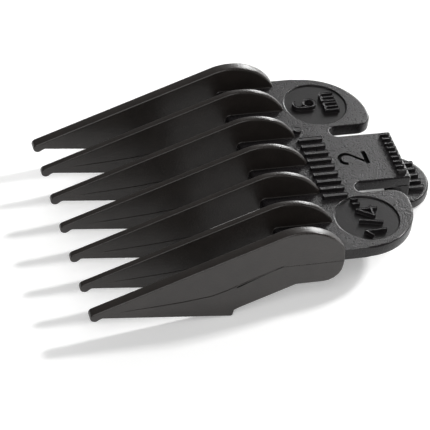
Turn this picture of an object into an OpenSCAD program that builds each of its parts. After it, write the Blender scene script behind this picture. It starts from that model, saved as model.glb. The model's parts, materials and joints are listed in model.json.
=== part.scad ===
// Clipper guard comb: a clip-on length guide for a hair clipper with a 40 mm blade.
// Seven teeth hold the hair and the skin 6 mm from the cutting edge. The blade lies under the
// deck, its cutting edge in the tooth notches and its back edge behind the sprung latch.
//
// Design axes: X across the comb, Y from the tooth tips to the release tab, Z up from the deck.
// Their zero is on the centre line, at the rear feet of the teeth, on the top of the deck.
// rest() then lays the comb down on the heels of its teeth and the back of its tab.

/* [Comb] */
// Distance between two neighbouring teeth
tooth_pitch = 7; // [6.8:0.05:7.1]
// Width over the two outer teeth
comb_w = 42.9; // [42.6:0.1:43.4]
// Thickness of an inner tooth
inner_tooth_t = 1.1; // [0.8:0.1:1.5]
// Thickness of an outer tooth
outer_tooth_t = 1.8; // [1.4:0.1:2.2]

/* [Tooth side view] */
// Distance from the feet to the front of the tips
tip_reach = 39.4; // [36:0.1:44]
// Radius of the rounded tip
tip_r = 0.8; // [0.65:0.05:1]
// Depth of the tip's centre below the deck top
tip_drop = 8.6; // [8.2:0.05:9]
// Depth of the lower edge just behind the tip
belly_drop = 8.85; // [8.7:0.05:9.1]
// Radius of the rounded crest
crest_r = 8.3; // [7:0.1:9]
// Height of the crest above the deck top
crest_h = 4.5; // [3.5:0.1:5.5]
// Distance from the feet to the highest point of the crest
crest_back = 7.05; // [6.5:0.05:7.6]
// Distance from the feet to the heel, the lowest corner
heel_back = 16.6; // [15.5:0.1:18]
// Depth of the heel below the deck top
heel_drop = 11.2; // [10.5:0.1:12]

/* [Blade seat] */
// Thickness of the deck
deck_t = 2; // [1.6:0.1:2.4]
// Distance from the feet to the front edge of the deck
deck_front = 9.5; // [9:0.1:11]
// Slope of the blade's bevelled front, in degrees
bevel_angle = 22.3; // [18:0.1:25]
// Height of the slot that takes the blade's cutting edge
edge_slot_h = 1.1; // [0.8:0.1:1.4]
// Depth of that slot in front of the heel
edge_slot_depth = 2.2; // [1.2:0.1:3]
// Depth of the side guides' flat edge below the deck top
guide_drop = 5.95; // [5.4:0.05:6.4]
// Step between the heel and the side guides' sloped edge
guide_step = 1.25; // [0.8:0.05:1.8]
// Radius of the side guides' rear corner
guide_corner_r = 3; // [2:0.1:3.4]

/* [Wings] */
// Distance from the feet to the rear of the wings
wing_reach = 14; // [13:0.1:15]
// Radius of the wings' rear outer corner
wing_r = 9.7; // [8:0.1:10]
// Gap between the comb's side and the wing's side
wing_inset = 0.25; // [0.1:0.05:0.5]
// Radius of the wings' inner corner, beside the slots
wing_inner_r = 2.6; // [1.2:0.1:2.8]
// Radius of the round recess for the size mark
recess_r = 5.1; // [4.5:0.1:5.5]
// Depth of that recess
recess_depth = 0.2; // [0.1:0.05:0.4]
// Distance of the recess from the centre line
recess_x = 14.3; // [13.8:0.1:14.6]
// Distance of the recess from the feet
recess_y = 5.9; // [5.6:0.1:6.4]

/* [Latch] */
// Width of the release tongue
tongue_w = 11.6; // [10:0.1:12]
// Width of the slot on each side of the tongue
slot_w = 2.4; // [2:0.1:2.8]
// Distance from the feet to the closed end of the slots
slot_root = 6.3; // [5.8:0.1:7]
// Distance from the feet to the line about which the tongue flexes
flex_line = 5.1; // [4.7:0.1:5.2]
// Distance from the feet to the rear of the tongue
tongue_reach = 16; // [15:0.1:17]
// Thickness of the wall under the tongue's rear
wall_t = 1.4; // [1.2:0.1:2]
// Depth of the latch wall's lower end below the deck top
wall_drop = 6.9; // [6.6:0.1:7.2]
// Radius of the half-round thumb tab
tab_r = 6.1; // [5:0.1:7]
// Distance that the tab stands out behind the tongue
tab_out = 5.3; // [4:0.1:6]
// Thickness of the tab
tab_t = 1.7; // [1.3:0.1:2]
// Reach of the hook under the blade's back edge
hook_reach = 0.9; // [0.6:0.05:1.2]
// Thickness of the hook
hook_t = 1.1; // [0.8:0.1:1.4]
// Width of the hook
hook_w = 9; // [6:0.5:10]

/* [Marks] */
// Height of the raised marks
mark_h = 0.65; // [0.3:0.05:0.8]
// Stroke width of the raised size marks
stroke_w = 0.4; // [0.3:0.05:0.5]
// Depth of the numeral cut into the tongue
numeral_depth = 0.5; // [0.3:0.05:0.8]
// Stroke width of that numeral
numeral_stroke_w = 0.6; // [0.4:0.05:0.7]
// Number of plain bars in front of the tongue
bar_count = 9; // [3:2:9]
// Number of grip ribs on the tongue
tongue_rib_count = 9; // [5:2:11]
// Number of grip ribs on the thumb tab
tab_rib_count = 5; // [3:2:7]

/* [Hidden] */
$fn = 96;

NYLON = "#2b2a2a";
NYLON_MARK = "#1d1c1c";

// Points along an arc, ends included
function arc(centre, r, start, end, steps) = [
    for (i = [0 : steps])
        let (a = start + (end - start) * i / steps)
            centre + r * [cos(a), sin(a)]
];

// Across the comb
side_x = comb_w / 2;
inner_face_x = side_x - outer_tooth_t;
wing_x = side_x - wing_inset;
middle_tooth = 4;

// Tooth side view, as (Y, Z)
crest_y = -crest_back;
crest_z = crest_h - crest_r;
foot_angle = asin(-crest_z / crest_r);
foot_y = crest_y + crest_r * cos(foot_angle);
tip_y = -tip_reach + tip_r;
tip_z = -tip_drop;
// The lower edge begins behind the tip's centre, with a small lip between them
TIP_NOSE = 1.1;
TIP_LIP_ANGLE = 40;
belly_y = tip_y + TIP_NOSE;
// The straight top edge is the tangent from the tip circle to the crest circle
tip_to_crest = [crest_y - tip_y, crest_z - tip_z];
top_angle = atan2(tip_to_crest[1], tip_to_crest[0]) + asin((crest_r - tip_r) / norm(tip_to_crest));

// Blade seat: the notch roof runs down from the deck's front edge, parallel to the top edge
roof_slope = tan(bevel_angle);
heel_roof_z = -deck_t - (heel_back - deck_front) * roof_slope;
roof_up = [-sin(bevel_angle), cos(bevel_angle)];
slot_roof_y = -heel_back - edge_slot_depth;
slot_roof_end = [slot_roof_y, -deck_t - (-slot_roof_y - deck_front) * roof_slope];
// The side guides' flat edge begins here and their sloped edge runs down to the heel
GUIDE_FLAT_BACK = 2.5;
guide_flat_y = -deck_front + GUIDE_FLAT_BACK;
// An outer tooth ends on the deck's lower face, where its blade guide begins
outer_notch = [
    [foot_y, -deck_t],
    [-deck_front, -deck_t],
    [-heel_back, heel_roof_z],
];
// An inner tooth stands on the deck, and its slot holds the blade's cutting edge down
inner_notch = concat(
    [[-deck_front, 0], [-deck_front, -deck_t]],
    arc(slot_roof_end - roof_up * edge_slot_h / 2, edge_slot_h / 2,
        90 + bevel_angle, 270 + bevel_angle, 12),
    [[-heel_back, heel_roof_z - edge_slot_h / cos(bevel_angle)]]
);

// Latch
wall_front_y = tongue_reach - wall_t;
tab_y = tongue_reach + tab_out - tab_r;
tab_top_z = -wall_drop + tab_t;
// The hook's ramp starts at the wall's foot and ends this far up the hook
HOOK_RAMP = 0.7;

// Lying position: the heels and the tab's rear lower edge touch the ground
rest_tilt = atan2(heel_drop - wall_drop, heel_back + tab_y + tab_r);
rest_lift = heel_drop * cos(rest_tilt) - heel_back * sin(rest_tilt);
front_extent = tip_y * cos(rest_tilt) + tip_z * sin(rest_tilt) - tip_r;
rear_extent = (tab_y + tab_r) * cos(rest_tilt) + tab_top_z * sin(rest_tilt);

// Heights that the raised marks stand on
DECK_TOP = 0;
RECESS_FLOOR = -recess_depth;

// Rows of bars and ribs: [pitch, width, length] and the row's distance from the feet
FRONT_BARS = [1.75, 0.8, 4];
FRONT_BARS_PLACE = [1.9, 2.3];
TONGUE_RIBS = [1.15, 0.5, 1.5];
tongue_ribs_y = tongue_reach - 1.25;
TAB_RIBS = [1.5, 0.65, 2.6];
// A plain dot at the end of the row of bars: [X, Y, radius]
FRONT_DOT = [-7.65, 0.9, 0.65];
tab_ribs_y = tongue_reach + tab_out / 2 - 0.2;

// Widths and heights of the numerals and letters
NUMERAL_SIZE = [3, 4.95];
numeral_y = 7.9;
DIGIT_6_SIZE = [2.3, 4];
// The 6's top stroke ends at this angle
DIGIT_6_END = 40;
LETTER_M_SIZE = [2.2, 2.45];
DIGIT_1_HEIGHT = 3.55;
DIGIT_4_SIZE = [2.5, 3.45];
// The numeral 2 leaves its bow at this angle
BOW_END = 35;

module rest() {
    translate([0, -(front_extent + rear_extent) / 2, rest_lift])
        rotate([-rest_tilt, 0, 0])
            children();
}

// A side view drawn as (Y, Z), made t thick about the plane X = x
module side_plate(x, t) {
    translate([x - t / 2, 0, 0])
        rotate([90, 0, 90])
            linear_extrude(t)
                children();
}

// Outline of a tooth seen from the side: lower edge, tip, straight top edge, crest, foot, notch.
// The notch is what the tooth leaves open for the blade, from its foot forward to its heel.
module tooth_outline(notch) {
    polygon(concat(
        [[-heel_back, -heel_drop], [belly_y, -belly_drop]],
        arc([tip_y, tip_z], tip_r, -TIP_LIP_ANGLE, top_angle - 270, 32),
        arc([crest_y, crest_z], crest_r, 90 + top_angle, foot_angle, 32),
        notch
    ));
}

module outer_tooth(x) {
    color(NYLON)
        rest()
            side_plate(x, outer_tooth_t)
                tooth_outline(outer_notch);
}

module inner_tooth(number) {
    color(NYLON)
        rest()
            side_plate((number - middle_tooth) * tooth_pitch, inner_tooth_t)
                tooth_outline(inner_notch);
}

module tooth_1() {
    outer_tooth(-side_x + outer_tooth_t / 2);
}

module tooth_2() {
    inner_tooth(2);
}

module tooth_3() {
    inner_tooth(3);
}

module tooth_4() {
    inner_tooth(4);
}

module tooth_5() {
    inner_tooth(5);
}

module tooth_6() {
    inner_tooth(6);
}

module tooth_7() {
    outer_tooth(side_x - outer_tooth_t / 2);
}

// The wall under an outer tooth that keeps the blade from sliding sideways
module blade_guide(x) {
    color(NYLON)
        rest()
            side_plate(x, outer_tooth_t)
                difference() {
                    polygon([
                        [foot_y, -deck_t],
                        [-deck_front, -deck_t],
                        [-heel_back, heel_roof_z],
                        [-heel_back, -heel_drop + guide_step],
                        [guide_flat_y, -guide_drop],
                        [foot_y, -guide_drop],
                    ]);
                    translate([foot_y - guide_corner_r, -guide_drop])
                        difference() {
                            square([guide_corner_r + 1, guide_corner_r]);
                            translate([0, guide_corner_r])
                                circle(guide_corner_r);
                        }
                }
}

module left_blade_guide() {
    blade_guide(-side_x + outer_tooth_t / 2);
}

module right_blade_guide() {
    blade_guide(side_x - outer_tooth_t / 2);
}

// Plan of one wing on the +X side, from the slot to the comb's side
module wing_plan() {
    inner_x = tongue_w / 2 + slot_w;
    difference() {
        translate([0, foot_y])
            square([wing_x, wing_reach - foot_y]);
        translate([wing_x - wing_r, wing_reach - wing_r])
            difference() {
                square(wing_r + 1);
                circle(wing_r);
            }
        translate([inner_x + wing_inner_r, wing_reach - wing_inner_r])
            difference() {
                translate([-wing_inner_r - 1, 0])
                    square(wing_inner_r + 1);
                circle(wing_inner_r);
            }
    }
}

// The opening for the tongue with its two round-ended side slots
module latch_opening_plan() {
    slot_r = slot_w / 2;
    slot_x = tongue_w / 2 + slot_r;
    translate([-tongue_w / 2, flex_line])
        square([tongue_w, wing_reach]);
    for (side = [-1, 1])
        translate([side * slot_x, slot_root + slot_r]) {
            circle(slot_r);
            translate([-slot_r, 0])
                square([slot_w, wing_reach]);
        }
}

module deck() {
    color(NYLON)
        rest()
            difference() {
                translate([0, 0, -deck_t])
                    linear_extrude(deck_t)
                        difference() {
                            union() {
                                wing_plan();
                                mirror([1, 0])
                                    wing_plan();
                                translate([-inner_face_x, -deck_front])
                                    square([2 * inner_face_x, deck_front + foot_y + 1]);
                            }
                            latch_opening_plan();
                        }
                for (side = [-1, 1])
                    translate([side * recess_x, recess_y, RECESS_FLOOR])
                        cylinder(h = recess_depth + 1, r = recess_r);
            }
}

module release_tongue() {
    color(NYLON)
        rest()
            difference() {
                translate([-tongue_w / 2, flex_line, -deck_t])
                    cube([tongue_w, tongue_reach - flex_line, deck_t]);
                translate([0, 0, -numeral_depth])
                    linear_extrude(numeral_depth + 1)
                        mark_at(0, numeral_y)
                            glyph_2(NUMERAL_SIZE);
            }
}

module latch_wall() {
    color(NYLON)
        rest()
            translate([-tongue_w / 2, wall_front_y, -wall_drop])
                cube([tongue_w, wall_t, wall_drop - deck_t]);
}

// The catch under the blade's back edge, with a ramp that lets the blade push it aside
module latch_hook() {
    color(NYLON)
        rest()
            side_plate(0, hook_w)
                polygon([
                    [wall_front_y, -wall_drop],
                    [wall_front_y - hook_reach, -wall_drop + hook_t * HOOK_RAMP],
                    [wall_front_y - hook_reach, -wall_drop + hook_t],
                    [wall_front_y, -wall_drop + hook_t],
                ]);
}

module thumb_tab() {
    color(NYLON)
        rest()
            translate([0, 0, -wall_drop])
                linear_extrude(tab_t)
                    intersection() {
                        translate([0, tab_y])
                            circle(tab_r);
                        translate([-tab_r, tongue_reach])
                            square([2 * tab_r, tab_r]);
                    }
}

// A row of plain upright bars, centred on X = 0, with size as [pitch, width, length]
module bar_row(count, size) {
    for (i = [0 : count - 1])
        translate([(i - (count - 1) / 2) * size[0], 0])
            square([size[1], size[2]], center = true);
}

module raised(z) {
    translate([0, 0, z])
        linear_extrude(mark_h)
            children();
}

module tongue_grip_ribs() {
    color(NYLON_MARK)
        rest()
            raised(DECK_TOP)
                translate([0, tongue_ribs_y])
                    bar_row(tongue_rib_count, TONGUE_RIBS);
}

module tab_grip_ribs() {
    color(NYLON_MARK)
        rest()
            raised(tab_top_z)
                translate([0, tab_ribs_y])
                    bar_row(tab_rib_count, TAB_RIBS);
}

module front_bars() {
    color(NYLON_MARK)
        rest()
            raised(DECK_TOP)
                translate(FRONT_BARS_PLACE)
                    bar_row(bar_count, FRONT_BARS);
}

module front_dot() {
    color(NYLON_MARK)
        rest()
            raised(DECK_TOP)
                translate([FRONT_DOT[0], FRONT_DOT[1]])
                    circle(FRONT_DOT[2]);
}

// Strokes of the numerals: (u, v) runs right and up as the mark is read
module line_stroke(from, to, w = stroke_w) {
    span = to - from;
    translate(from)
        rotate(atan2(span[1], span[0]))
            translate([0, -w / 2])
                square([norm(span), w]);
}

module arc_stroke(centre, r, start, end, w = stroke_w) {
    translate(centre)
        intersection() {
            difference() {
                circle(r + w / 2);
                circle(r - w / 2);
            }
            polygon(concat([[0, 0]],
                [for (i = [0 : 4]) 2 * r * [cos(start + i * (end - start) / 4),
                    sin(start + i * (end - start) / 4)]]));
        }
}

// A mark is read from the tab side, so its right is -X and its up is -Y
module mark_at(x, y) {
    translate([x, y])
        rotate(180)
            children();
}

// Each glyph is centred on its own middle; size is [width, height] over the strokes
module glyph_2(size) {
    w = numeral_stroke_w;
    r = (size[0] - w) / 2;
    bow_v = (size[1] - w) / 2 - r;
    base_v = -(size[1] - w) / 2;
    arc_stroke([0, bow_v], r, -BOW_END, 180, w);
    line_stroke([r * cos(BOW_END) + 0.1, bow_v - r * sin(BOW_END) + 0.1], [-r, base_v], w * 0.8);
    line_stroke([-size[0] / 2, base_v], [size[0] / 2, base_v], w * 1.2);
}

module glyph_6(size) {
    r = (size[0] - stroke_w) / 2;
    bowl_v = r - (size[1] - stroke_w) / 2;
    arc_stroke([0, bowl_v], r, 0, 360);
    top_v = (size[1] - stroke_w) / 2 - r;
    line_stroke([-r, bowl_v], [-r, top_v]);
    arc_stroke([0, top_v], r, DIGIT_6_END, 180);
}

module glyph_m(size) {
    leg = (size[0] - stroke_w) / 2;
    arch_v = (size[1] - stroke_w) / 2;
    for (i = [-1 : 1])
        line_stroke([i * leg, -size[1] / 2], [i * leg, size[1] / 2]);
    line_stroke([-size[0] / 2, arch_v], [size[0] / 2, arch_v]);
}

module glyph_1(height) {
    line_stroke([0, -height / 2], [0, height / 2]);
    line_stroke([-1.2, height / 2 - 1.1], [0.1, height / 2 - 0.15]);
}

module glyph_4(size) {
    stem_u = size[0] * 0.25;
    bar_v = -size[1] * 0.22;
    line_stroke([stem_u, -size[1] / 2], [stem_u, size[1] / 2]);
    line_stroke([-size[0] / 2, bar_v], [size[0] / 2, bar_v]);
    line_stroke([-size[0] / 2 + 0.2, bar_v], [stem_u, size[1] / 2 - 0.2]);
}

module metric_mark() {
    color(NYLON_MARK)
        rest()
            raised(RECESS_FLOOR)
                mark_at(-recess_x, recess_y) {
                    translate([0, 1.9])
                        glyph_6(DIGIT_6_SIZE);
                    for (side = [-1, 1])
                        translate([side * 1.22, -2.3])
                            glyph_m(LETTER_M_SIZE);
                }
}

module inch_mark() {
    color(NYLON_MARK)
        rest()
            raised(RECESS_FLOOR)
                mark_at(recess_x, recess_y) {
                    translate([-3.35, -0.4])
                        glyph_1(DIGIT_1_HEIGHT);
                    line_stroke([-1.65, -2.15], [-0.75, 1.5]);
                    translate([1.1, -0.4])
                        glyph_4(DIGIT_4_SIZE);
                    for (u = [3.1, 4.2])
                        line_stroke([u, 0.25], [u, 1.45]);
                }
}

deck();
tooth_1();
tooth_2();
tooth_3();
tooth_4();
tooth_5();
tooth_6();
tooth_7();
left_blade_guide();
right_blade_guide();
release_tongue();
latch_wall();
latch_hook();
thumb_tab();
tongue_grip_ribs();
tab_grip_ribs();
front_bars();
front_dot();
metric_mark();
inch_mark();
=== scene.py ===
import json
import math

import bmesh
import bpy
from mathutils import Matrix, Vector
from mathutils.geometry import delaunay_2d_cdt


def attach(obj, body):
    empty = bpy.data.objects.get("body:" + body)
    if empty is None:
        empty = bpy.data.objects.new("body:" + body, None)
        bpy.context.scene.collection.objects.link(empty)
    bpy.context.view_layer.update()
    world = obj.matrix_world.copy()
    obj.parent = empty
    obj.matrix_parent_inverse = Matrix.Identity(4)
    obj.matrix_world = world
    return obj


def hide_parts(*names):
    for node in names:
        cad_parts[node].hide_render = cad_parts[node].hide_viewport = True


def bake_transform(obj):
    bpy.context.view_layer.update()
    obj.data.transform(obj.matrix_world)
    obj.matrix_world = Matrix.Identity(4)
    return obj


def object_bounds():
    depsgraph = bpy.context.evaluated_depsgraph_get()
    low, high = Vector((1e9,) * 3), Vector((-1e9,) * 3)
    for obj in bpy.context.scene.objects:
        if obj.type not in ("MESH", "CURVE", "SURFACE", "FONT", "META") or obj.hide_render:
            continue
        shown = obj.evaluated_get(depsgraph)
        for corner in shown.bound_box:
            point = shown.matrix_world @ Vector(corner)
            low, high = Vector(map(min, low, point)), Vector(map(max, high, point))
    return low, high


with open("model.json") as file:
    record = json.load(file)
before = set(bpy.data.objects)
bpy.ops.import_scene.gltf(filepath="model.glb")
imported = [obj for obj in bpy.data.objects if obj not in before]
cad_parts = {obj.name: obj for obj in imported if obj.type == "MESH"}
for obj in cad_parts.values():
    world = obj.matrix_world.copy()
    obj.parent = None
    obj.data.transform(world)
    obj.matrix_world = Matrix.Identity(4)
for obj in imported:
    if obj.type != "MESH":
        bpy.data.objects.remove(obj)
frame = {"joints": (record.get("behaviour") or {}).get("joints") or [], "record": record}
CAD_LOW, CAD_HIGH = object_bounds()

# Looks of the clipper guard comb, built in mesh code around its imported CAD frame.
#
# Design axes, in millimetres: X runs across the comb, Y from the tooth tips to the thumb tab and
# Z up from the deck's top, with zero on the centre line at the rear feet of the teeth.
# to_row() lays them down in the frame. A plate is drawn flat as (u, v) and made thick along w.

MM = 0.001

# Comb
TOOTH_PITCH = 7.0
MIDDLE_TOOTH = 4
INNER_TOOTH_T = 1.1
OUTER_TOOTH_T = 1.8
SIDE_X = (CAD_HIGH.x - CAD_LOW.x) / 2 / MM
INNER_FACE_X = SIDE_X - OUTER_TOOTH_T

# Tooth side view
TIP_REACH = 39.4
TIP_R = 0.8
TIP_DROP = 8.6
TIP_NOSE = 1.1
TIP_LIP_ANGLE = 40
BELLY_DROP = 8.85
CREST_R = 8.3
CREST_H = 4.5
CREST_BACK = 7.05
HEEL_BACK = 16.6
HEEL_DROP = 11.2

# Blade seat
DECK_T = 2.0
DECK_FRONT = 9.5
BEVEL_ANGLE = 22.3
EDGE_SLOT_H = 1.1
EDGE_SLOT_DEPTH = 2.2
GUIDE_DROP = 5.95
GUIDE_STEP = 1.25
GUIDE_FLAT_BACK = 2.5
GUIDE_FLAT_Y = -DECK_FRONT + GUIDE_FLAT_BACK
GUIDE_CORNER_R = 3.0
GUIDE_SLOPE = (HEEL_DROP - GUIDE_STEP - GUIDE_DROP) / (HEEL_BACK + GUIDE_FLAT_Y)

# Wings
WING_REACH = 14.0
WING_R = 9.7
WING_INSET = 0.25
WING_X = SIDE_X - WING_INSET
WING_INNER_R = 2.6
RECESS_R = 5.1
RECESS_DEPTH = 0.2
RECESS_X = 14.3
RECESS_Y = 5.9

# Latch
TONGUE_W = 11.6
SLOT_W = 2.4
SLOT_ROOT = 6.3
FLEX_LINE = 5.1
FLEX_END = 9.6
TONGUE_REACH = 16.0
WALL_T = 1.4
WALL_DROP = 6.9
TAB_R = 6.1
TAB_OUT = 5.3
TAB_Y = TONGUE_REACH + TAB_OUT - TAB_R
TAB_T = 1.7
TAB_TOP = TAB_T - WALL_DROP
HOOK_REACH = 0.9
HOOK_T = 1.1
HOOK_W = 9.0
HOOK_RAMP = 0.7

# Marks
MARK_H = 0.65
STROKE_W = 0.4
NUMERAL_DEPTH = 0.5
NUMERAL_STROKE_W = 0.6
NUMERAL_SIZE = (3.0, 4.95)
NUMERAL_Y = 7.9
DIGIT_6_SIZE = (2.3, 4.0)
DIGIT_6_END = 40
DIGIT_1_HEIGHT = 3.55
DIGIT_4_SIZE = (2.5, 3.45)
LETTER_M_SIZE = (2.2, 2.45)
BOW_END = 35

# Rows of bars and ribs: (count, pitch, width, length)
FRONT_BARS = (9, 1.75, 0.8, 4.0)
FRONT_BARS_PLACE = (1.9, 2.3)
TONGUE_RIBS = (9, 1.15, 0.5, 1.5)
TONGUE_RIBS_Y = TONGUE_REACH - 1.25
TAB_RIBS = (5, 1.5, 0.65, 2.6)
TAB_RIBS_Y = TONGUE_REACH + TAB_OUT / 2 - 0.2
BAR_CORNER_R = 0.12
FRONT_DOT_PLACE = (-7.65, 0.9)
FRONT_DOT_R = 0.65

# Rounding of the mould's edges
TOP_EDGE = 0.15
OUTER_TOP_EDGE = 0.25
CREST_EDGE = 0.42
LOWER_EDGE = 0.25
NOTCH_EDGE = 0.1
INNER_NOTCH_EDGE = 0.04
DECK_EDGE = 0.28
DECK_FRONT_EDGE = 0.8
UNDER_EDGE = 0.2
WALL_EDGE = 0.2
WALL_FILLET = 0.6
HOOK_EDGE = 0.1
TAB_EDGE = 0.35
MARK_EDGE = 0.06
MARK_DRAFT = 0.03
MARK_FOOT = 0.05
NUMERAL_EDGE = 0.04
NUMERAL_DRAFT = 0.04
RECESS_EDGE = 0.12
RECESS_FOOT = 0.06
FOOT_FILLET = 0.14
# Where two pieces meet flush there is no rounding
SEAM = 0.0
# A narrow flat beside each rounding keeps its shading off the face
FLAT_MARGIN = 0.08
# Pieces sink this far into a neighbour of the same body
SINK = 0.4
# The inner teeth's roofs stand this far below the blade guides' roofs
INNER_ROOF_DROP = 0.08

# Mesh building
MITRE_LIMIT = 0.35
SAME_POINT = 0.03
MERGE = 0.004
DEGENERATE = 0.002
SHARP_ANGLE = 38


# ---------------------------------------------------------------- frame

def deck_plane():
    """Matrix from design millimetres to the frame's metres, from the blade seat and the hinge."""
    seat = next(m for m in frame["record"]["mounts"] if m["name"] == "blade_seat")
    hinge = frame["joints"][0]
    tilt = math.atan2(-seat["axis"][1], -seat["axis"][2])
    flex_point = Matrix.Translation(hinge["pos_m"])
    lie_down = Matrix.Rotation(-tilt, 4, "X")
    from_feet = Matrix.Translation((0, -FLEX_LINE * MM, 0))
    return flex_point @ lie_down @ from_feet @ Matrix.Scale(MM, 4)


TO_ROW = deck_plane()


def to_row(x, y, z):
    """A design point's place in the frame."""
    return TO_ROW @ Vector((x, y, z))


# ---------------------------------------------------------------- outlines

def arc(centre, radius, start, end, steps):
    """Points on an arc from one angle to another, in degrees, both ends included."""
    angles = [math.radians(start + (end - start) * i / steps) for i in range(steps + 1)]
    return [Vector((centre[0] + radius * math.cos(a), centre[1] + radius * math.sin(a)))
            for a in angles]


def between(start, end, steps):
    """Points that divide a straight edge evenly, ends left out."""
    a, b = Vector(start), Vector(end)
    return [a.lerp(b, i / steps) for i in range(1, steps)]


def corner(before, at, after, radius):
    """The arc that rounds one corner of an outline."""
    steps = 5
    point = Vector(at)
    if radius <= 0:
        return [point]
    back = (Vector(before) - point).normalized()
    ahead = (Vector(after) - point).normalized()
    half = back.angle(ahead) / 2
    centre = point + (back + ahead).normalized() * radius / math.sin(half)
    first = point + back * radius / math.tan(half) - centre
    last = point + ahead * radius / math.tan(half) - centre
    turn = first.angle_signed(last)
    return [centre + Matrix.Rotation(-turn * i / steps, 2) @ first for i in range(steps + 1)]


def trace(*items):
    """A closed counter-clockwise outline with the edge rounding of each point.

    An item is (edge, (u, v), radius), a corner, or (edge, [points]), a ready run of points."""
    def first(item):
        return Vector(item[1]) if len(item) == 3 else item[1][0]

    def last(item):
        return Vector(item[1]) if len(item) == 3 else item[1][-1]

    points, edges = [], []
    for i, item in enumerate(items):
        if len(item) == 3:
            run = corner(last(items[i - 1]), item[1], first(items[(i + 1) % len(items)]), item[2])
        else:
            run = item[1]
        points += run
        edges += [item[0]] * len(run)
    if area(points) < 0:
        points.reverse()
        edges.reverse()
    return points, edges


def outward(loop, i, cut_before, cut_after):
    """Mitre vector at one point of a loop whose material lies on its left.

    Beside a cut, an edge where two pieces meet flush, the point slides along the cut."""
    before, at, after = loop[i - 1], loop[i], loop[(i + 1) % len(loop)]
    a = (at - before).normalized()
    b = (after - at).normalized()
    na, nb = Vector((a.y, -a.x)), Vector((b.y, -b.x))
    if cut_before:
        return a / max(MITRE_LIMIT, a.dot(nb))
    if cut_after:
        return -b / max(MITRE_LIMIT, -b.dot(na))
    return (na + nb) / max(MITRE_LIMIT, 1 + na.dot(nb))


def union(polygons):
    """Boundary loops of overlapping polygons: outer ones counter-clockwise, holes clockwise."""
    points, faces = [], []
    for polygon in polygons:
        faces.append(list(range(len(points), len(points) + len(polygon))))
        points += polygon
    verts, _, triangles, _, _, owners = delaunay_2d_cdt(points, [], faces, 1, 1e-4)
    directed = set()
    for triangle, owner in zip(triangles, owners):
        if owner:
            for k in range(len(triangle)):
                directed.add((triangle[k - 1], triangle[k]))
    follow = {a: b for a, b in sorted(directed) if (b, a) not in directed}
    loops = []
    while follow:
        start, at = follow.popitem()
        loop = [start]
        while at != start:
            loop.append(at)
            at = follow.pop(at)
        loops.append(thin_out([verts[i] for i in loop]))
    return loops


def thin_out(loop):
    """Drops points that almost coincide with the one before."""
    return [p for i, p in enumerate(loop) if (p - loop[i - 1]).length > SAME_POINT]


def area(loop):
    """Signed area, positive for a counter-clockwise loop."""
    return sum(loop[i - 1].cross(loop[i]) for i in range(len(loop))) / 2


def inside(point, loop):
    """Whether a point lies inside a loop."""
    found = False
    for i in range(len(loop)):
        a, b = loop[i - 1], loop[i]
        if (a.y > point.y) != (b.y > point.y):
            if point.x < a.x + (point.y - a.y) * (b.x - a.x) / (b.y - a.y):
                found = not found
    return found


# ---------------------------------------------------------------- plates

class Shell:
    """Points and faces of one piece, in (u, v, w), with how much each point is worn smooth."""

    def __init__(self):
        self.points = []
        self.worn = []
        self.faces = []
        self.slots = []

    def ring(self, outline, heights, worn):
        """Adds a closed row of points and gives back their numbers."""
        start = len(self.points)
        self.points += [Vector((p.x, p.y, h)) for p, h in zip(outline, heights)]
        self.worn += worn
        return list(range(start, len(self.points)))

    def strip(self, lower, upper, slot=0):
        """Joins two rings with a band of faces."""
        for i in range(len(lower)):
            self.faces.append((lower[i - 1], lower[i], upper[i], upper[i - 1]))
            self.slots.append(slot)

    def face(self, ring, slot=0):
        self.faces.append(tuple(ring))
        self.slots.append(slot)

    def cap(self, rings, lines=(), slot=0):
        """Fills the flat between closed rings, with edges along the given lines."""
        keys = [i for ring in rings for i in ring]
        flat = [Vector(self.points[i][:2]) for i in keys]
        height = self.points[keys[0]].z
        edges, start = [], 0
        for ring in rings:
            edges += [(start + (i - 1) % len(ring), start + i) for i in range(len(ring))]
            start += len(ring)
        loops = [[Vector(self.points[i][:2]) for i in ring] for ring in rings]
        for line in lines:
            kept = [p for p in line if sum(inside(p, loop) for loop in loops) % 2]
            edges += [(len(flat) + i, len(flat) + i + 1) for i in range(len(kept) - 1)]
            flat += kept
        verts, _, triangles, origins, _, _ = delaunay_2d_cdt(flat, edges, [], 0, 1e-5)
        index = []
        for vert, origin in zip(verts, origins):
            if origin and origin[0] < len(keys):
                index.append(keys[origin[0]])
            else:
                index.append(len(self.points))
                self.points.append(Vector((vert.x, vert.y, height)))
                self.worn.append(0.0)
        for triangle in triangles:
            middle = sum((verts[i] for i in triangle), Vector((0, 0))) / 3
            if sum(inside(middle, loop) for loop in loops) % 2:
                self.face([index[i] for i in triangle], slot)


def inset(loop, distances):
    """The loop moved into its material, by a distance for each point."""
    moved_in = []
    for i, distance in enumerate(distances):
        cut_before = distances[i - 1] == 0
        cut_after = distances[(i + 1) % len(loop)] == 0
        if distance:
            moved_in.append(loop[i] - outward(loop, i, cut_before, cut_after) * distance)
        else:
            moved_in.append(loop[i])
    return moved_in


def shrunk(loop, distance):
    """The loop moved into its material by one distance all round."""
    return inset(loop, [distance] * len(loop))


def quarter(steps):
    """(inset, height) of a quarter round of radius 1, from the flat face to the side."""
    return [(1 - math.sin(a), 1 - math.cos(a))
            for a in (math.pi / 2 * k / steps for k in range(steps + 1))]


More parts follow.
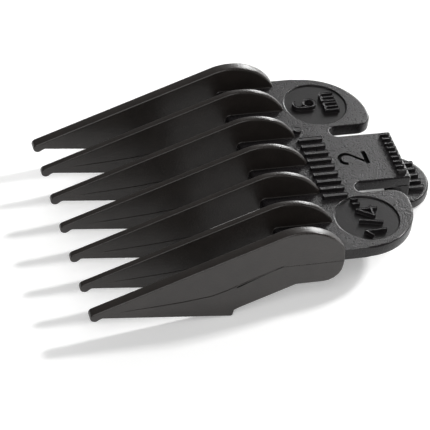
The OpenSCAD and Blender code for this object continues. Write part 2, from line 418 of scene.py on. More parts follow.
def plate(outline, low, high, edge_low=None, steps=4, lines_low=(), lines_high=(), pockets=()):
    """A flat plate with rounded edges.

    outline is trace()'s result. edge_low caps the rounding of the lower side. lines_low and
    lines_high are edges to cut into the two faces. pockets are recesses in the upper face,
    each a list of (loop, height, how worn, material slot)."""
    loop, edges = outline
    shell = Shell()
    lower = [e if edge_low is None else min(e, edge_low) for e in edges]
    rings = []
    for w, direction, radii in ((low, 1, lower), (high, -1, edges)):
        profile = [(1, 0)] + quarter(steps)
        made = []
        for k, (across, up) in enumerate(profile):
            margin = FLAT_MARGIN if k == 0 else 0
            distances = [across * r + (margin if r > 0 else 0) for r in radii]
            heights = [w + direction * up * r for r in radii]
            middle = math.sin(math.pi * (k - 1) / steps) if k else 0.0
            worn = [middle if r else 0.0 for r in radii]
            made.append(shell.ring(inset(loop, distances), heights, worn))
        rings.append(made)
    under, over = rings
    for stack in (under, over):
        for a, b in zip(stack, stack[1:]):
            shell.strip(a, b)
    shell.strip(under[-1], over[-1])
    shell.cap([under[0]], lines_low)
    holes = []
    for pocket in pockets:
        made = [shell.ring(loop, [height] * len(loop), [worn] * len(loop))
                for loop, height, worn, _ in pocket]
        for a, b, (_, _, _, slot) in zip(made, made[1:], pocket[1:]):
            shell.strip(a, b, slot)
        shell.cap([made[-1]], slot=pocket[-1][3])
        holes.append(made[0])
    shell.cap([over[0]] + holes, lines_high)
    return shell


def emboss(loops, base, height):
    """Raised strokes: a flared foot, sides with draft and a top that dips inside its rim."""
    shell = Shell()
    root = 0.1
    profile = [(-MARK_FOOT, -root, 0.0), (-MARK_FOOT, 0.0, 0.0)]
    profile += [(-MARK_FOOT * 0.4, MARK_FOOT * 0.35, 0.0), (0.0, MARK_FOOT, 0.0)]
    for inward, worn in ((0.0, 0.0), (0.3, 0.7), (0.6, 0.7), (0.88, 0.7), (1.0, 0.0)):
        dip = 1 - math.sqrt(1 - inward ** 2)
        profile.append((MARK_DRAFT + MARK_EDGE * inward, height - MARK_EDGE * dip, worn))
    stacks = []
    for loop in loops:
        stack = [shell.ring(shrunk(loop, across), [base + up] * len(loop), [worn] * len(loop))
                 for across, up, worn in profile]
        for a, b in zip(stack, stack[1:]):
            shell.strip(a, b)
        stacks.append(stack)
    shell.cap([stack[0] for stack in stacks])
    shell.cap([stack[-1] for stack in stacks])
    return shell


def joined(shells):
    """Several separate shells as one."""
    whole = Shell()
    for shell in shells:
        start = len(whole.points)
        whole.points += shell.points
        whole.worn += shell.worn
        whole.faces += [tuple(start + i for i in face) for face in shell.faces]
        whole.slots += shell.slots
    return whole


def plan(p):
    """A plate drawn from above, as (X, Y), thick along Z."""
    return to_row(p.x, p.y, p.z)


def side(p):
    """A plate drawn from the side, as (Y, Z), thick along X."""
    return to_row(p.z, p.x, p.y)


def piece(name, shell, axes, materials):
    """One finished mesh object that stands for the CAD node of that name."""
    mesh = bpy.data.meshes.new(f"{name}_moulding")
    mesh.from_pydata([axes(p) for p in shell.points], [], shell.faces)
    for polygon, material in zip(mesh.polygons, shell.slots):
        polygon.material_index = material
    worn = mesh.attributes.new("worn", "FLOAT", "POINT")
    worn.data.foreach_set("value", shell.worn)
    work = bmesh.new()
    work.from_mesh(mesh)
    bmesh.ops.remove_doubles(work, verts=work.verts, dist=MERGE * MM)
    bmesh.ops.dissolve_degenerate(work, edges=work.edges, dist=DEGENERATE * MM)
    bmesh.ops.recalc_face_normals(work, faces=work.faces)
    work.to_mesh(mesh)
    work.free()
    mesh.polygons.foreach_set("use_smooth", [True] * len(mesh.polygons))
    mesh.set_sharp_from_angle(angle=math.radians(SHARP_ANGLE))
    made = bpy.data.objects.new(f"{name}_moulding", mesh)
    bpy.context.scene.collection.objects.link(made)
    for material in materials:
        mesh.materials.append(material)
    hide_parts(name)
    return made


# ---------------------------------------------------------------- materials

class Nodes:
    """Short calls for building one material's node tree."""

    def __init__(self, name):
        self.material = bpy.data.materials.new(name)
        self.material.use_nodes = True
        self.tree = self.material.node_tree
        self.shader = self.tree.nodes["Principled BSDF"]
        self.place = self.tree.nodes.new("ShaderNodeTexCoord").outputs["Object"]

    def link(self, start, end):
        self.tree.links.new(start, end)

    def noise(self, size_mm, detail=2.0, roughness=0.5, place=None):
        node = self.tree.nodes.new("ShaderNodeTexNoise")
        node.inputs["Scale"].default_value = 1 / (size_mm * MM)
        node.inputs["Detail"].default_value = detail
        node.inputs["Roughness"].default_value = roughness
        self.link(place or self.place, node.inputs["Vector"])
        return node.outputs["Fac"]

    def stretched(self, scale):
        node = self.tree.nodes.new("ShaderNodeMapping")
        node.inputs["Scale"].default_value = scale
        self.link(self.place, node.inputs["Vector"])
        return node.outputs["Vector"]

    def attribute(self, name):
        node = self.tree.nodes.new("ShaderNodeAttribute")
        node.attribute_name = name
        return node.outputs["Fac"]

    def spread(self, value, low, high, from_low=0.3, from_high=0.7):
        node = self.tree.nodes.new("ShaderNodeMapRange")
        node.inputs["From Min"].default_value = from_low
        node.inputs["From Max"].default_value = from_high
        node.inputs["To Min"].default_value = low
        node.inputs["To Max"].default_value = high
        self.link(value, node.inputs["Value"])
        return node.outputs["Result"]

    def sum(self, a, b):
        node = self.tree.nodes.new("ShaderNodeMath")
        self.link(a, node.inputs[0])
        self.link(b, node.inputs[1])
        return node.outputs["Value"]

    def colours(self, value, dark, light):
        node = self.tree.nodes.new("ShaderNodeMix")
        node.data_type = "RGBA"
        node.inputs["A"].default_value = (*dark, 1)
        node.inputs["B"].default_value = (*light, 1)
        self.link(value, node.inputs["Factor"])
        return node.outputs["Result"]

    def bump(self, height, depth_mm, strength, normal=None):
        node = self.tree.nodes.new("ShaderNodeBump")
        self.link(strength, node.inputs["Strength"])
        node.inputs["Distance"].default_value = depth_mm * MM
        self.link(height, node.inputs["Height"])
        if normal:
            self.link(normal, node.inputs["Normal"])
        return node.outputs["Normal"]


MOTTLE_MM = 2.6
FINE_GRAIN = 0.45
FLOW_MM = 1.0
FLOW_STRETCH = (0.25, 1.0, 0.25)
FLOW_DEPTH = 0.004
DARK_TINT = 0.75
LIGHT_TINT = 1.45
WORN_GRAIN = 0.35


def nylon(name, colour, roughness, ior, grain_mm, grain_depth, speckle, polish):
    """Moulded black nylon: spark-eroded grain, faint flow waves and smoother worn edges.

    grain_depth is in millimetres. speckle is how much the roughness varies with the grain, and
    polish is how much lower it is on a worn edge."""
    nodes = Nodes(name)
    shader = nodes.shader
    worn = nodes.attribute("worn")
    mottle = nodes.noise(MOTTLE_MM, 3.0, 0.55)
    grain = nodes.noise(grain_mm, 3.0, 0.6)
    fine = nodes.noise(grain_mm * FINE_GRAIN, 1.0)
    flow = nodes.noise(FLOW_MM, 2.0, 0.5, nodes.stretched(FLOW_STRETCH))
    tint = nodes.sum(nodes.spread(mottle, 0.0, 0.55), nodes.spread(fine, 0.0, 0.45))
    light = tuple(c * LIGHT_TINT for c in colour)
    dark = tuple(c * DARK_TINT for c in colour)
    nodes.link(nodes.colours(tint, dark, light), shader.inputs["Base Color"])
    rough = nodes.sum(
        nodes.spread(grain, roughness - speckle, roughness + speckle),
        nodes.spread(worn, 0.0, -polish, 0.0, 1.0),
    )
    nodes.link(rough, shader.inputs["Roughness"])
    kept = nodes.spread(worn, 1.0, WORN_GRAIN, 0.0, 1.0)
    relief = nodes.bump(flow, FLOW_DEPTH, kept)
    relief = nodes.bump(grain, grain_depth, kept, relief)
    nodes.link(relief, shader.inputs["Normal"])
    shader.inputs["IOR"].default_value = ior
    return nodes.material


# ---------------------------------------------------------------- teeth

CREST = Vector((-CREST_BACK, CREST_H - CREST_R))
FOOT_ANGLE = math.degrees(math.asin(-CREST.y / CREST_R))
FOOT_Y = CREST.x + CREST_R * math.cos(math.radians(FOOT_ANGLE))
TIP = Vector((TIP_R - TIP_REACH, -TIP_DROP))
BELLY = (TIP.x + TIP_NOSE, -BELLY_DROP)
TIP_TO_CREST = CREST - TIP
TOP_ANGLE = math.degrees(math.atan2(TIP_TO_CREST.y, TIP_TO_CREST.x)
                         + math.asin((CREST_R - TIP_R) / TIP_TO_CREST.length))
ROOF_SLOPE = math.tan(math.radians(BEVEL_ANGLE))
HEEL_ROOF = (-HEEL_BACK, -DECK_T - (HEEL_BACK - DECK_FRONT) * ROOF_SLOPE)
SLOT_ROOF_Y = -HEEL_BACK - EDGE_SLOT_DEPTH
SLOT_ROOF_END = Vector((SLOT_ROOF_Y, -DECK_T - (-SLOT_ROOF_Y - DECK_FRONT) * ROOF_SLOPE))
ROOF_UP = Vector((-math.sin(math.radians(BEVEL_ANGLE)), math.cos(math.radians(BEVEL_ANGLE))))

# Parting line of the mould on a tooth's side, from the heel's roof towards the tip
PARTING_START = (-HEEL_BACK - 0.12, HEEL_ROOF[1] - 0.06)
PARTING_RUN = ((-18.0, -5.62), (-20.5, -6.5), (-25.0, -7.1), (-30.0, -7.5), (-35.0, -7.85))
PARTING = [Vector(p) for p in (HEEL_ROOF, PARTING_START, *PARTING_RUN)]
PARTING_DEPTH = 0.2
PARTING_HALF = 0.1
PARTING_MARGIN = 0.18
PARTING_FADE = 6


def deck_distance(y, z):
    """Distance from a point of the side view to the deck's top and its rounded front edge."""
    front = -DECK_FRONT + DECK_FRONT_EDGE - y
    level = z + DECK_FRONT_EDGE
    outside = math.hypot(max(front, 0.0), max(level, 0.0))
    return outside + min(max(front, level), 0.0) - DECK_FRONT_EDGE


def flare(distance):
    """How far a fillet stands out at this distance from the deck."""
    if distance <= 0:
        return FOOT_FILLET
    if distance >= FOOT_FILLET:
        return 0.0
    return FOOT_FILLET - math.sqrt(FOOT_FILLET ** 2 - (FOOT_FILLET - distance) ** 2)


# The fillet runs out on the deck's front edge, at this height
FILLET_END = -1.8
FILLET_LINES = [FOOT_FILLET * share for share in (0.0, 0.03, 0.12, 0.3, 0.6, 1.0, 1.4)]


def fillet_lines():
    """Lines along the deck on a tooth's side, where the fillet bends."""
    pivot = (-DECK_FRONT + DECK_FRONT_EDGE, -DECK_FRONT_EDGE)
    lines = []
    for distance in FILLET_LINES:
        line = [Vector((FOOT_Y - 0.25 - y, distance)) for y in (0, 0.4, 0.8, 1.4, 3.0, 6.0)]
        line += arc(pivot, DECK_FRONT_EDGE + distance, 90, 180, 9)
        line += [Vector((-DECK_FRONT - distance, z)) for z in (-1.3, FILLET_END)]
        lines.append(line)
    return lines


def parting_lines():
    """The parting line's middle, its two shoulders and a flat margin beside each."""
    lines = []
    for shift in (-PARTING_MARGIN, -PARTING_HALF, 0.0, PARTING_HALF, PARTING_MARGIN):
        lines.append([p + Vector((0, shift)) for p in PARTING])
    return lines


def groove(y, z):
    """Depth of the parting line's groove at a point of the side view."""
    for a, b in zip(PARTING, PARTING[1:]):
        if b.x - 1e-4 <= y <= a.x + 1e-4:
            share = (y - a.x) / (b.x - a.x)
            if abs(z - (a.y + (b.y - a.y) * share)) < 1e-3:
                fade = min(1.0, (y - PARTING[-1].x) / PARTING_FADE)
                return PARTING_DEPTH * fade
    return 0.0


def shape_sides(shell, middle, thickness, low_has, high_has):
    """Adds the fillet to the deck and the parting line to a plate's two side faces.

    low_has and high_has name what each side gets."""
    for point in shell.points:
        across = (point.z - middle) / (thickness / 2)
        has = high_has if across > 0 else low_has
        push = 0.0
        if "fillet" in has:
            run_out = min(1.0, max(0.0, point.y - FILLET_END))
            push += flare(deck_distance(point.x, point.y)) * abs(across) * run_out
        if "parting line" in has and abs(across) > 0.999:
            push -= groove(point.x, point.y)
        point.z += push if across > 0 else -push


def tooth_outline(notch, edge):
    """A tooth round its notch, with rounding that grows from edge to CREST_EDGE on the crest."""
    growing = 9
    lip = arc(TIP, TIP_R, -TIP_LIP_ANGLE, TOP_ANGLE - 270, 24)
    crest = arc(CREST, CREST_R, 90 + TOP_ANGLE, FOOT_ANGLE + 1, 35)
    rounder = [(edge + (CREST_EDGE - edge) * min(1, i / growing), [at])
               for i, at in enumerate(crest)]
    return trace(
        *notch,
        (LOWER_EDGE, (-HEEL_BACK, -HEEL_DROP), 0.4),
        (LOWER_EDGE, BELLY, 0.6),
        (edge, lip),
        *rounder,
    )


def outer_tooth_outline():
    """Side view of an outer tooth: its blade guide carries on below the seam."""
    notch = (
        (NOTCH_EDGE, (FOOT_Y, -DECK_T), 0.0),
        (NOTCH_EDGE, (-DECK_FRONT, -DECK_T), 0.0),
        (NOTCH_EDGE, HEEL_ROOF, 0.0),
        (SEAM, (-HEEL_BACK, HEEL_ROOF[1] - 0.2), 0.0),
        (SEAM, (-HEEL_BACK, -HEEL_DROP + GUIDE_STEP + 0.1), 0.0),
        (NOTCH_EDGE, (-HEEL_BACK, -HEEL_DROP + GUIDE_STEP - 0.15), 0.0),
    )
    return tooth_outline(notch, OUTER_TOP_EDGE)


def inner_tooth_outline():
    """Side view of an inner tooth, with the slot for the blade's cutting edge."""
    slot_r = (EDGE_SLOT_H - INNER_ROOF_DROP) / 2
    slot = arc(SLOT_ROOF_END - ROOF_UP * (EDGE_SLOT_H - slot_r), slot_r,
               90 + BEVEL_ANGLE, 270 + BEVEL_ANGLE, 14)
    lower_lip = (-HEEL_BACK, HEEL_ROOF[1] - EDGE_SLOT_H / math.cos(math.radians(BEVEL_ANGLE)))
    notch = (
        (SEAM, (FOOT_Y - 0.2, -SINK), 0.0),
        (SEAM, (-DECK_FRONT + SINK, -SINK), 0.0),
        (SEAM, (-DECK_FRONT + SINK, -DECK_T + SINK * ROOF_SLOPE), 0.0),
        (INNER_NOTCH_EDGE, (-DECK_FRONT, -DECK_T - INNER_ROOF_DROP), 0.0),
        (INNER_NOTCH_EDGE, slot),
        (INNER_NOTCH_EDGE, lower_lip, 0.15),
    )
    return tooth_outline(notch, TOP_EDGE)


def make_teeth(material):
    lines = fillet_lines() + parting_lines()
    for number in range(1, 2 * MIDDLE_TOOTH):
        x = (number - MIDDLE_TOOTH) * TOOTH_PITCH
        thickness = INNER_TOOTH_T
        outline = inner_tooth_outline()
        low_has = high_has = ("fillet", "parting line")
        if number in (1, 2 * MIDDLE_TOOTH - 1):
            thickness = OUTER_TOOTH_T
            x = math.copysign(SIDE_X - thickness / 2, x)
            outline = outer_tooth_outline()
            low_has, high_has = ("fillet",), ("parting line",)
            if x < 0:
                low_has, high_has = high_has, low_has
        shell = plate(outline, x - thickness / 2, x + thickness / 2, steps=6,
                      lines_low=lines, lines_high=lines)
        shape_sides(shell, x, thickness, low_has, high_has)
        name = f"tooth_{number}"
        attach(piece(name, shell, side, [material]), "guide")


def make_blade_guides(material):
    step_z = -HEEL_DROP + GUIDE_STEP
    for name, sign in (("left_blade_guide", -1), ("right_blade_guide", 1)):
        outline = trace(
            (NOTCH_EDGE, (-DECK_FRONT, -DECK_T), 0.0),
            (NOTCH_EDGE, HEEL_ROOF, 0.0),
            (SEAM, (-HEEL_BACK, HEEL_ROOF[1] - 0.2), 0.0),
            (SEAM, (-HEEL_BACK, step_z + 0.25), 0.0),
            (LOWER_EDGE / 2, (-HEEL_BACK, step_z), 0.0),
            (LOWER_EDGE, (-HEEL_BACK + 1, step_z + GUIDE_SLOPE), 0.0),
            (LOWER_EDGE, (GUIDE_FLAT_Y, -GUIDE_DROP), 1.0),
            (LOWER_EDGE, (FOOT_Y, -GUIDE_DROP), GUIDE_CORNER_R),
            (NOTCH_EDGE, (FOOT_Y, -DECK_T), 0.0),
        )
        x = sign * (SIDE_X - OUTER_TOOTH_T / 2)
        shell = plate(outline, x - OUTER_TOOTH_T / 2, x + OUTER_TOOTH_T / 2)
        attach(piece(name, shell, side, [material]), "guide")


# ---------------------------------------------------------------- deck and latch

SLOT_X = TONGUE_W / 2 + SLOT_W / 2
SLOT_R = SLOT_W / 2


def wing_run(sign):
    """Outline of one wing from the comb's side to its slot, on the +X side for sign 1."""
    rear = arc((WING_X - WING_R, WING_REACH - WING_R), WING_R, 0, 90, 28)
    inner_x = TONGUE_W / 2 + SLOT_W
    inner = arc((inner_x + WING_INNER_R, WING_REACH - WING_INNER_R), WING_INNER_R, 90, 180, 8)
    slot_end = arc((SLOT_X, SLOT_ROOT + SLOT_R), SLOT_R, 0, -90, 10)
    items = [
        (DECK_FRONT_EDGE, [Vector((INNER_FACE_X + SINK, -DECK_FRONT))]),
        (SEAM, [Vector((INNER_FACE_X + SINK, -SINK)), Vector((WING_X, -SINK))]),
        (DECK_EDGE, rear),
        (DECK_EDGE, inner),
        (DECK_EDGE, slot_end),
        (SEAM, [Vector((SLOT_X, FLEX_LINE))]),
    ]
    if sign > 0:
        return items
    return [(edge, [Vector((-p.x, p.y)) for p in run[::-1]]) for edge, run in items[::-1]]


def recess(x):
    """Pocket for a round recess: a worn rim in the deck's material, then its floor's."""
    rim, foot = RECESS_EDGE, RECESS_FOOT
    profile = [(RECESS_R + rim + 0.06, 0.0, 0.0, 0)]
    profile += [(RECESS_R + rim * across, -rim * up, 1.0, 0) for across, up in quarter(3)]
    profile += [(RECESS_R - foot * up, foot * across - RECESS_DEPTH, 0.0, 1)
                for across, up in quarter(3)]
    profile.append((RECESS_R - foot - 0.12, -RECESS_DEPTH, 0.0, 1))
    return [(arc((x, RECESS_Y), r, 0, 355, 71), height, worn, slot)
            for r, height, worn, slot in profile]


def make_deck(top, floor):
    outline = trace(*wing_run(1), *wing_run(-1))
    pockets = [recess(-RECESS_X), recess(RECESS_X)]
    shell = plate(outline, -DECK_T, 0.0, edge_low=UNDER_EDGE, steps=5, pockets=pockets)
    deck = piece("deck", shell, plan, [top, floor])
    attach(deck, "guide")


def bend_lines(half_width, clear):
    """Lines across the tongue on each side of its numeral, so that it bends smoothly."""
    return [[Vector((x, SLOT_ROOT + step)) for x in ends]
            for step in (0.4, 0.8, 1.2, 1.6, 2.0, 2.4, 2.8, 3.3)
            for ends in ((-half_width, -clear), (clear, half_width))]


def engraving(loops, depth):
    """Pockets for strokes cut into a face: a crisp rim, walls with draft and a flat floor. The
    walls below the rim and the floor take material slot 1, a near-black nylon that is painted
    shade.
    """
    rim = NUMERAL_EDGE
    profile = ((-rim - 0.03, 0.0, 0), (-rim, 0.0, 0), (-rim * 0.3, -rim * 0.3, 0),
               (0.0, -rim, 0), (NUMERAL_DRAFT, -depth, 1))
    return [[(shrunk(loop, across), height, 0.0, slot) for across, height, slot in profile]
            for loop in loops]


def make_tongue(material, numeral_shade):
    half = TONGUE_W / 2
    slot_end = arc((SLOT_X, SLOT_ROOT + SLOT_R), SLOT_R, -90, -180, 10)
    right_side = slot_end + between((half, SLOT_ROOT + SLOT_R), (half, FLEX_END), 6)
    left_side = [Vector((-p.x, p.y)) for p in right_side[::-1]]
    outline = trace(
        (SEAM, (-SLOT_X, FLEX_LINE), 0.0),
        (SEAM, (SLOT_X, FLEX_LINE), 0.0),
        (DECK_EDGE, right_side),
        (DECK_EDGE, (half, TONGUE_REACH), 0.35),
        (DECK_EDGE, (-half, TONGUE_REACH), 0.35),
        (DECK_EDGE, left_side),
    )
    lines = bend_lines(half - DECK_EDGE - FLAT_MARGIN - 0.05, NUMERAL_SIZE[0] / 2 + 0.4)
    numeral = union(read_from_tab(glyph_2(*NUMERAL_SIZE), 0, NUMERAL_Y))
    shell = plate(outline, -DECK_T, 0.0, edge_low=UNDER_EDGE, steps=5, lines_low=lines,
                  lines_high=lines, pockets=engraving(numeral, NUMERAL_DEPTH))
    # The numeral's groove walls and floor take the second material: painted shade in the strokes
    tongue = piece("release_tongue", shell, plan, [material, numeral_shade])
    bend(tongue)


def bend(made):
    """Bakes the piece's place in the frame into its mesh; nothing here bends it."""
    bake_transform(made)


WALL_FRONT = TONGUE_REACH - WALL_T


def make_latch_wall(material):
    """The wall under the tongue's rear edge, with a fillet on its front side."""
    fillet = arc((WALL_FRONT - WALL_FILLET, -DECK_T - WALL_FILLET), WALL_FILLET, 90, 0, 6)
    outline = trace(
        (WALL_EDGE, (WALL_FRONT, -WALL_DROP), 0.25),
        (WALL_EDGE, (TONGUE_REACH - 0.05, -WALL_DROP), 0.3),
        (WALL_EDGE, (TONGUE_REACH, -DECK_T), 0.0),
        (SEAM, (TONGUE_REACH - 0.3, -DECK_T + SINK), 0.0),
        (SEAM, (WALL_FRONT - 0.9, -DECK_T + SINK), 0.0),
        (WALL_EDGE, fillet),
    )
    shell = plate(outline, -TONGUE_W / 2, TONGUE_W / 2)
    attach(piece("latch_wall", shell, side, [material]), "latch")


def make_latch_hook(material):
    """The catch on the wall's front, with its ramp below."""
    tip = WALL_FRONT - HOOK_REACH
    outline = trace(
        (HOOK_EDGE, (WALL_FRONT + SINK, -WALL_DROP + 0.1), 0.0),
        (HOOK_EDGE, (WALL_FRONT + SINK, -WALL_DROP + HOOK_T), 0.0),
        (HOOK_EDGE, (tip, -WALL_DROP + HOOK_T), 0.15),
        (HOOK_EDGE, (tip, -WALL_DROP + HOOK_T * HOOK_RAMP), 0.12),
        (HOOK_EDGE, (WALL_FRONT, -WALL_DROP + 0.02), 0.0),
    )
    shell = plate(outline, -HOOK_W / 2, HOOK_W / 2)
    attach(piece("latch_hook", shell, side, [material]), "latch")


def make_thumb_tab(material):
    """The flange at the wall's foot: part of a disc, cut off along the wall."""
    swing = math.degrees(math.asin((TONGUE_REACH - TAB_Y) / TAB_R))
    rim = arc((0, TAB_Y), TAB_R, swing, 180 - swing, 48)
    reach = rim[0].x
    root = [Vector((x, TONGUE_REACH - SINK)) for x in (-reach, reach)]
    outline = trace((TAB_EDGE, rim), (TAB_EDGE, root))
    shell = plate(outline, -WALL_DROP, TAB_TOP, edge_low=UNDER_EDGE, steps=5)
    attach(piece("thumb_tab", shell, plan, [material]), "latch")


# ---------------------------------------------------------------- marks

def bars(row, y, middle=0.0):
    """Outlines of a row of plain upright bars with rounded corners."""
    count, pitch, width, length = row
    w, h = width / 2, length / 2
    made = []
    for i in range(count):
        x = middle + (i - (count - 1) / 2) * pitch
        corners = [(x + a * w, y + b * h) for a, b in ((-1, -1), (1, -1), (1, 1), (-1, 1))]
        outline, _ = trace(*[(SEAM, at, BAR_CORNER_R) for at in corners])
        made.append(outline)
    return made


def stroke(path, width=STROKE_W):
    """Outline of a pen stroke along a path."""
    left, right = [], []
    for i, at in enumerate(path):
        before = path[max(i - 1, 0)]
        after = path[min(i + 1, len(path) - 1)]
        a = (at - before).normalized() if i else (after - at).normalized()
        b = (after - at).normalized() if i < len(path) - 1 else a
        across = Vector((a.y + b.y, -a.x - b.x)) / (1 + a.dot(b))
        right.append(at + across * width / 2)
        left.append(at - across * width / 2)
    return right + left[::-1]


def line(start, end):
    """Points along a straight stretch, close enough together to bend."""
    step = 0.5
    count = max(1, round((Vector(end) - Vector(start)).length / step))
    return [Vector(start)] + between(start, end, count) + [Vector(end)]


# Glyphs are centred on their own middle, w and h over the strokes

def glyph_2(w, h):
    pen = NUMERAL_STROKE_W / 2
    r = w / 2 - pen
    bow = h / 2 - pen - r
    base = pen - h / 2
    top = arc((0, bow), r, 180, -BOW_END, 16)
    leg = line(top[-1] + Vector((0.1, 0.1)), (-r, base))
    foot = line((-w / 2, base), (w / 2, base))
    return [stroke(top, NUMERAL_STROKE_W),
            stroke(leg, NUMERAL_STROKE_W * 0.8),
            stroke(foot, NUMERAL_STROKE_W * 1.2)]


def glyph_6(w, h):
    pen = STROKE_W / 2
    r = w / 2 - pen
    bowl = r + pen - h / 2
    back = line((-r, bowl), (-r, -bowl)) + arc((0, -bowl), r, 180, DIGIT_6_END, 12)[1:]
    halves = [arc((0, bowl), r, start, start + 185, 16) for start in (0, 180)]
    return [stroke(path) for path in (*halves, back)]


def glyph_m(w, h):
    """Three legs, two arches and a serif at the top left."""
    pen = STROKE_W / 2
    leg = w / 2 - pen
    top = h / 2 - pen
    legs = [line((x, -h / 2), (x, h / 2 - 0.3)) for x in (-leg, 0, leg)]
    arches = [arc((x, top - leg / 2), leg / 2, 180, 0, 10) for x in (-leg / 2, leg / 2)]
    serif = line((-leg - pen, top), (-leg + pen, top))
    return [stroke(path) for path in (*legs, *arches, serif)]


def glyph_1(h):
    return [stroke(line((0, -h / 2), (0, h / 2))),
            stroke(line((-1.2, h / 2 - 1.1), (0.1, h / 2 - 0.15)))]


def glyph_4(w, h):
    stem, bar = w * 0.25, -h * 0.22
    return [stroke(line((stem, -h / 2), (stem, h / 2))),
            stroke(line((-w / 2, bar), (w / 2, bar))),
            stroke(line((-w / 2 + 0.2, bar), (stem, h / 2 - 0.2)))]


def moved(strokes, u, v):
    """The strokes shifted by (u, v)."""
    return [[p + Vector((u, v)) for p in outline] for outline in strokes]


def read_from_tab(strokes, x, y):
    """Places a mark that is read from the tab side."""
    return [[Vector((x - p.x, y - p.y)) for p in outline] for outline in strokes]


def mark(name, loops, base, material, body="guide"):
    """One raised mark on a face at height base, on the body that carries it."""
    shell = joined([emboss(group, base, MARK_H) for group in group_loops(loops)])
    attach(piece(name, shell, plan, [material]), body)


def group_loops(loops):
    """Each outer loop with the holes that lie in it."""
    outer = [loop for loop in loops if area(loop) > 0]
    holes = [loop for loop in loops if area(loop) < 0]
    return [[loop] + [hole for hole in holes if inside(hole[0], loop)] for loop in outer]


def metric_strokes():
    """The digit 6 over the letters mm, round the recess's middle."""
    strokes = moved(glyph_6(*DIGIT_6_SIZE), 0, 1.9)
    for u in (-1.22, 1.22):
        strokes += moved(glyph_m(*LETTER_M_SIZE), u, -2.3)
    return strokes


def inch_strokes():
    """The fraction 1/4 and the inch sign, round the recess's middle."""
    strokes = moved(glyph_1(DIGIT_1_HEIGHT), -3.35, -0.4)
    strokes += moved(glyph_4(*DIGIT_4_SIZE), 1.1, -0.4)
    strokes.append(stroke(line((-1.65, -2.15), (-0.75, 1.5))))
    strokes += [stroke(line((u, 0.25), (u, 1.45))) for u in (3.1, 4.2)]
    return strokes


def make_marks(material):
    middle, y = FRONT_BARS_PLACE
    mark("front_bars", bars(FRONT_BARS, y, middle), 0.0, material)
    mark("front_dot", [arc(FRONT_DOT_PLACE, FRONT_DOT_R, 0, 345, 23)], 0.0, material)
    mark("tongue_grip_ribs", bars(TONGUE_RIBS, TONGUE_RIBS_Y), 0.0, material, "latch")
    mark("tab_grip_ribs", bars(TAB_RIBS, TAB_RIBS_Y), TAB_TOP, material, "latch")
    metric = union(read_from_tab(metric_strokes(), -RECESS_X, RECESS_Y))
    mark("metric_mark", metric, -RECESS_DEPTH, material)
    inch = union(read_from_tab(inch_strokes(), RECESS_X, RECESS_Y))
    mark("inch_mark", inch, -RECESS_DEPTH, material)


# ---------------------------------------------------------------- stage

def make_floor():
    """A pale floor that glows a little, as a light table does."""
    mesh = bpy.data.meshes.new("floor")
    work = bmesh.new()
    bmesh.ops.create_grid(work, x_segments=1, y_segments=1, size=3.0)
    work.to_mesh(mesh)
    work.free()
    floor = bpy.data.objects.new("floor", mesh)
    bpy.context.scene.collection.objects.link(floor)
    material = bpy.data.materials.new("pale_floor")
    material.use_nodes = True
    shader = material.node_tree.nodes["Principled BSDF"]
    shader.inputs["Base Color"].default_value = (0.92, 0.92, 0.915, 1)
    shader.inputs["Roughness"].default_value = 0.6
    shader.inputs["Emission Color"].default_value = (1, 1, 1, 1)
    shader.inputs["Emission Strength"].default_value = 0.25
    mesh.materials.append(material)
    floor.location.z = CAD_LOW.z


def direction(azimuth, elevation):
    """Unit vector from the comb towards a camera or light, where azimuth 0 lies on -Y."""
    a, e = math.radians(azimuth), math.radians(elevation)
    return Vector((math.sin(a) * math.cos(e), -math.cos(a) * math.cos(e), math.sin(e)))


LIGHT_DISTANCE = 0.9


def make_light(name, azimuth, elevation, width, height, power):
    """A soft panel light that shines at the comb from LIGHT_DISTANCE away."""
    data = bpy.data.lights.new(name, "AREA")
    data.shape = "RECTANGLE"
    data.size = width
    data.size_y = height
    data.energy = power
    light = bpy.data.objects.new(name, data)
    bpy.context.scene.collection.objects.link(light)
    back = direction(azimuth, elevation)
    light.location = back * LIGHT_DISTANCE
    light.rotation_euler = back.to_track_quat("Z", "Y").to_euler()
    light.visible_camera = False


def make_lights():
    """A low light that edges the crests, a small one for the shadows and a broad one in front."""
    make_light("crest_light", azimuth=230, elevation=18, width=0.26, height=0.3, power=5.0)
    make_light("shadow_light", azimuth=189, elevation=36, width=0.09, height=0.09, power=5.6)
    make_light("front_light", azimuth=72, elevation=45, width=0.8, height=0.8, power=4.3)


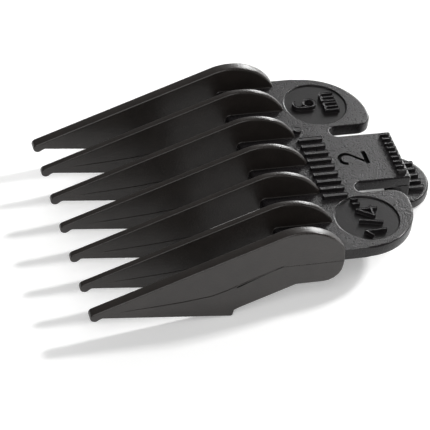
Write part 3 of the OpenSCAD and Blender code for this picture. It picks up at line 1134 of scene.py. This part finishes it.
def make_world():
    """A dim studio, brighter towards the crest light."""
    world = bpy.data.worlds.new("studio")
    world.use_nodes = True
    tree = world.node_tree
    background = tree.nodes["Background"]
    place = tree.nodes.new("ShaderNodeTexCoord").outputs["Generated"]
    towards = tree.nodes.new("ShaderNodeVectorMath")
    towards.operation = "DOT_PRODUCT"
    towards.inputs[1].default_value = direction(229, 5)
    tree.links.new(place, towards.inputs[0])
    spread = tree.nodes.new("ShaderNodeMapRange")
    spread.interpolation_type = "SMOOTHSTEP"
    spread.inputs["From Min"].default_value = 0.5
    spread.inputs["From Max"].default_value = 1.0
    spread.inputs["To Min"].default_value = 0.13
    spread.inputs["To Max"].default_value = 0.9
    tree.links.new(towards.outputs["Value"], spread.inputs["Value"])
    tree.links.new(spread.outputs["Result"], background.inputs["Strength"])
    background.inputs["Color"].default_value = (1, 1, 1, 1)
    bpy.context.scene.world = world


def make_camera():
    """The camera, aimed a little off the comb's middle and hardly rolled."""
    distance = 0.43224
    off_middle = Vector((0.00598, -0.00665, 0))
    aim = (CAD_LOW + CAD_HIGH) / 2 + off_middle
    back = direction(75.75, 41.97)
    roll = math.radians(-0.93)
    data = bpy.data.cameras.new("camera")
    data.lens = 231.06
    data.sensor_width = 36
    data.clip_start, data.clip_end = 0.01, 20
    camera = bpy.data.objects.new("camera", data)
    bpy.context.scene.collection.objects.link(camera)
    camera.location = aim + back * distance
    camera.rotation_mode = "QUATERNION"
    level = (-back).to_track_quat("-Z", "Y")
    camera.rotation_quaternion = level @ Matrix.Rotation(roll, 3, "Z").to_quaternion()
    bpy.context.scene.camera = camera


# ---------------------------------------------------------------- scene

make_camera()
# The deck's and the teeth's nylon are one material in two colours. The deck's copy is darker,
# which is painted shade. The teeth's copy is lighter, which is painted light on their shaded side
# faces.
SATIN_SHADED_COPY = nylon("nylon_satin_painted_shade", colour=(0.0088, 0.0077, 0.0083), roughness=0.32, ior=1.35,
              grain_mm=0.26, grain_depth=0.055, speckle=0.09, polish=0.12)
TOOTH_LIT_COPY = nylon("nylon_tooth_painted_light", colour=(0.0165, 0.0134, 0.0118), roughness=0.35, ior=1.53,
              grain_mm=0.3, grain_depth=0.03, speckle=0.05, polish=0.06)
RECESS_FLOOR = nylon("nylon_recess", colour=(0.0055, 0.0049, 0.0051), roughness=0.3, ior=1.3,
                     grain_mm=0.35, grain_depth=0.02, speckle=0.01, polish=0.05)
# Near-black nylon for the numeral's grooves: painted shade, darker than the deck's nylon
ENGRAVED_PAINTED_SHADE = nylon("nylon_engraved_painted_shade", colour=(0.003, 0.003, 0.003), roughness=0.6, ior=1.2,
                 grain_mm=0.26, grain_depth=0.04, speckle=0.03, polish=0.05)
make_deck(SATIN_SHADED_COPY, RECESS_FLOOR)
make_teeth(TOOTH_LIT_COPY)
make_blade_guides(TOOTH_LIT_COPY)
make_tongue(SATIN_SHADED_COPY, ENGRAVED_PAINTED_SHADE)
make_latch_wall(SATIN_SHADED_COPY)
make_latch_hook(SATIN_SHADED_COPY)
make_thumb_tab(SATIN_SHADED_COPY)
make_marks(SATIN_SHADED_COPY)
make_floor()
make_world()
make_lights()
bpy.context.scene.view_settings.view_transform = "Standard"
